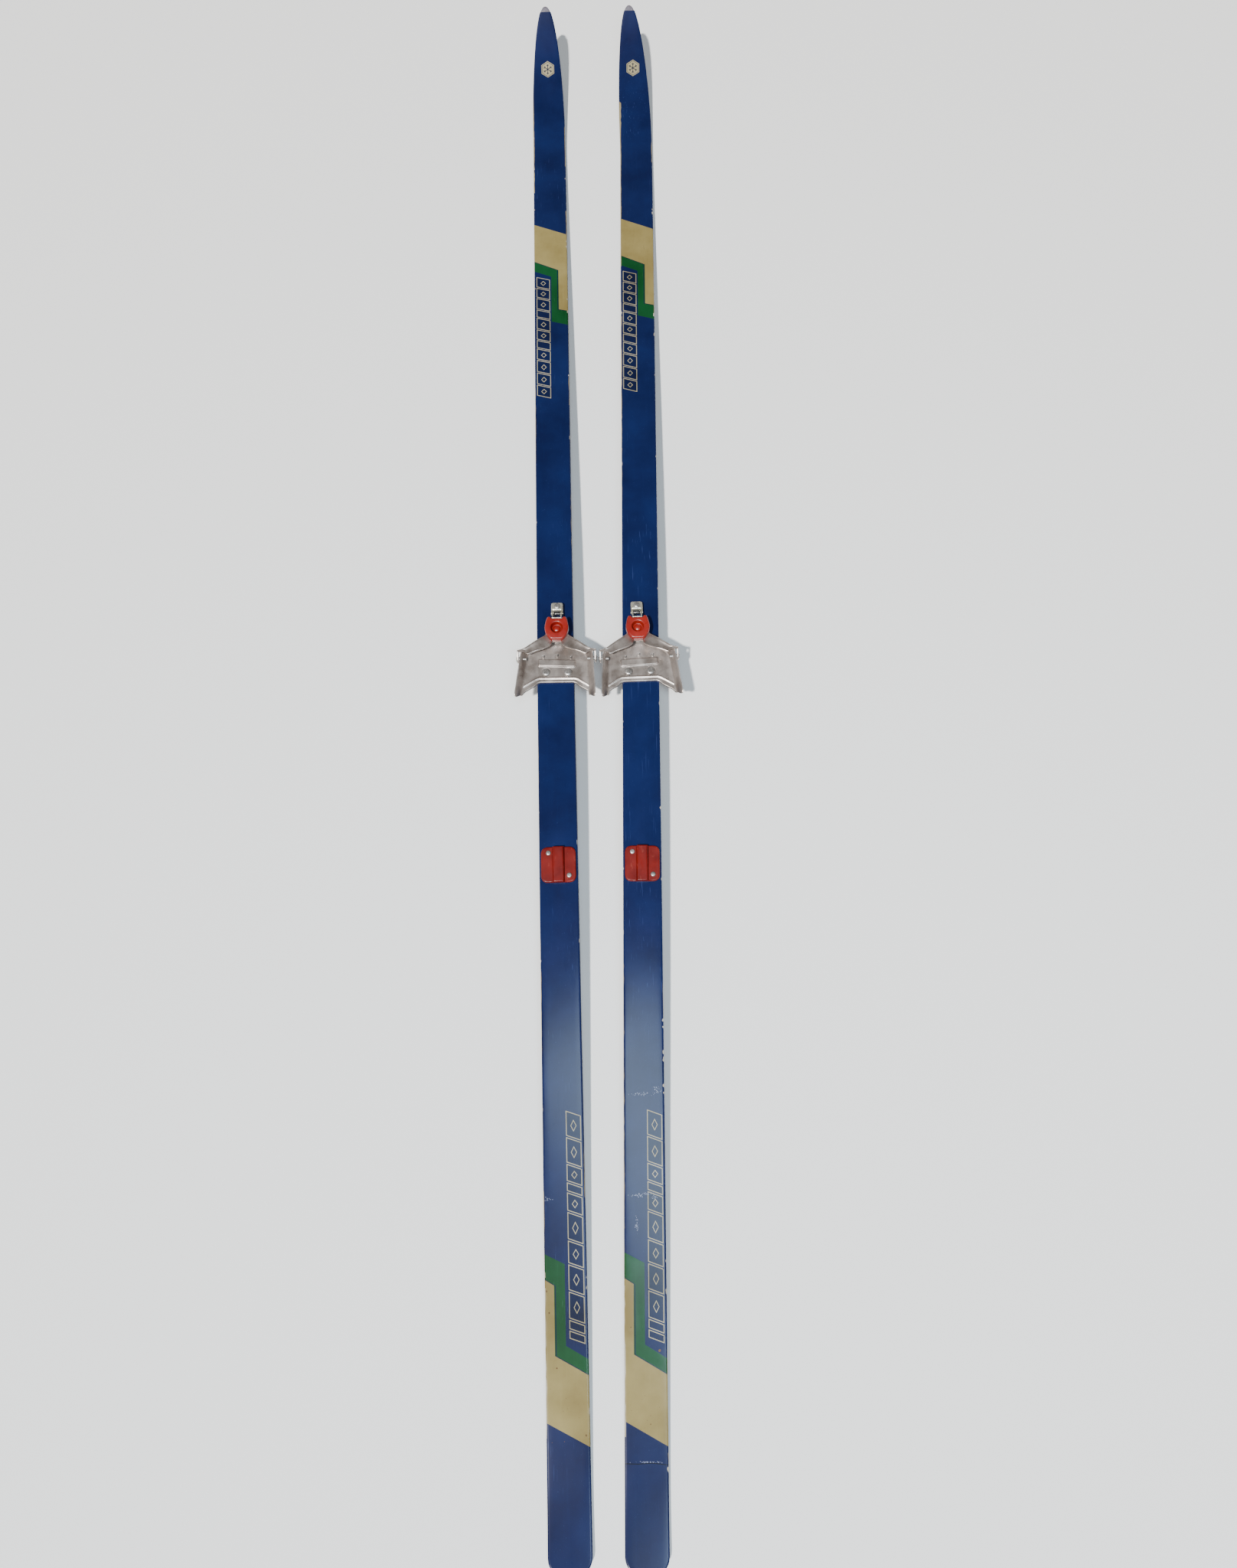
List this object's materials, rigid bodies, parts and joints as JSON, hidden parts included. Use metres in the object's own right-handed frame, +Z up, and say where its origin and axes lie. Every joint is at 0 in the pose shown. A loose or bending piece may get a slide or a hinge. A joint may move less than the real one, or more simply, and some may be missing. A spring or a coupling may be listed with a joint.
{
  "type": "cross country ski pair",
  "caption": "Pair of cambered cross country skis with upturned tips, three-pin toe bindings with hinged bails and sprung latches, and ridged heel plates.",
  "frame": {"origin": "on the floor, at the middle of the length and width of the pair", "axes": "+Y towards the tips, +X to the right ski, +Z up"},
  "size_m": [0.2082, 2.055, 0.078],
  "materials": {
    "top_sheet": "gloss navy blue top sheet with printed cream and green panels",
    "sidewall": "dark navy satin plastic edge",
    "running_base": "black polyethylene with fine lengthwise scratches",
    "laminate": "pale glass fibre laminate",
    "wood_core": "light laminated wood",
    "spacer": "worn greyish mauve plastic",
    "cast_alloy": "dull aluminium with brownish tarnish",
    "plated_steel": "zinc plated steel",
    "chrome": "bright plated steel",
    "red_plastic": "satin moulded red plastic"
  },
  "bodies": {
    "left_ski": {"left_sole": "running_base", "left_lower_laminate": "laminate", "left_core": "wood_core", "left_sidewall_left": "sidewall", "left_sidewall_right": "sidewall", "left_upper_laminate": "laminate", "left_top_sheet": "top_sheet", "left_tip_spacer": "spacer", "left_tail_spacer": "spacer", "left_toe_plate": "cast_alloy", "left_pin_right": "plated_steel", "left_pin_centre": "plated_steel", "left_pin_left": "plated_steel", "left_plate_screw_right": "plated_steel", "left_plate_screw_left": "plated_steel", "left_plate_screw_front": "plated_steel", "left_pivot_rivet_right": "plated_steel", "left_pivot_rivet_left": "plated_steel", "left_latch_head": "chrome", "left_latch_pin": "plated_steel", "left_latch_spring": "plated_steel", "left_latch_screw": "plated_steel", "left_heel_plate": "red_plastic", "left_heel_screw_front": "plated_steel", "left_heel_screw_rear": "plated_steel"},
    "left_bail": {"left_bail": "cast_alloy", "left_pole_cup": "red_plastic", "left_cup_rivet": "red_plastic"},
    "left_latch": {"left_latch_stirrup": "chrome"},
    "right_ski": {"right_sole": "running_base", "right_lower_laminate": "laminate", "right_core": "wood_core", "right_sidewall_left": "sidewall", "right_sidewall_right": "sidewall", "right_upper_laminate": "laminate", "right_top_sheet": "top_sheet", "right_tip_spacer": "spacer", "right_tail_spacer": "spacer", "right_toe_plate": "cast_alloy", "right_pin_left": "plated_steel", "right_pin_centre": "plated_steel", "right_pin_right": "plated_steel", "right_plate_screw_left": "plated_steel", "right_plate_screw_right": "plated_steel", "right_plate_screw_front": "plated_steel", "right_pivot_rivet_left": "plated_steel", "right_pivot_rivet_right": "plated_steel", "right_latch_head": "chrome", "right_latch_pin": "plated_steel", "right_latch_spring": "plated_steel", "right_latch_screw": "plated_steel", "right_heel_plate": "red_plastic", "right_heel_screw_front": "plated_steel", "right_heel_screw_rear": "plated_steel"},
    "right_bail": {"right_bail": "cast_alloy", "right_pole_cup": "red_plastic", "right_cup_rivet": "red_plastic"},
    "right_latch": {"right_latch_stirrup": "chrome"}
  },
  "joints": [
    {"name": "left_bail_hinge", "type": "hinge", "parent": "left_ski", "child": "left_bail", "pos_m": [-0.05169, -0.02446, 0.0569], "axis": [1, -0.0021, 0], "range_deg": [0, 80]},
    {"name": "left_latch_hinge", "type": "hinge", "parent": "left_ski", "child": "left_latch", "pos_m": [-0.05156, 0.03902, 0.05308], "axis": [-1, 0.0021, 0], "range_deg": [0, 30], "stiffness_Nm_per_rad": 0.02},
    {"name": "right_ski_glide", "type": "slide", "parent": "left_ski", "child": "right_ski", "axis": [0, 1, 0], "range_m": [-0.45, 0.45]},
    {"name": "right_bail_hinge", "type": "hinge", "parent": "right_ski", "child": "right_bail", "pos_m": [0.05062, -0.02446, 0.0569], "axis": [0.9997, 0.0248, 0], "range_deg": [0, 80]},
    {"name": "right_latch_hinge", "type": "hinge", "parent": "right_ski", "child": "right_latch", "pos_m": [0.04904, 0.039, 0.05308], "axis": [-0.9997, -0.0248, 0], "range_deg": [0, 30], "stiffness_Nm_per_rad": 0.02}
  ]
}
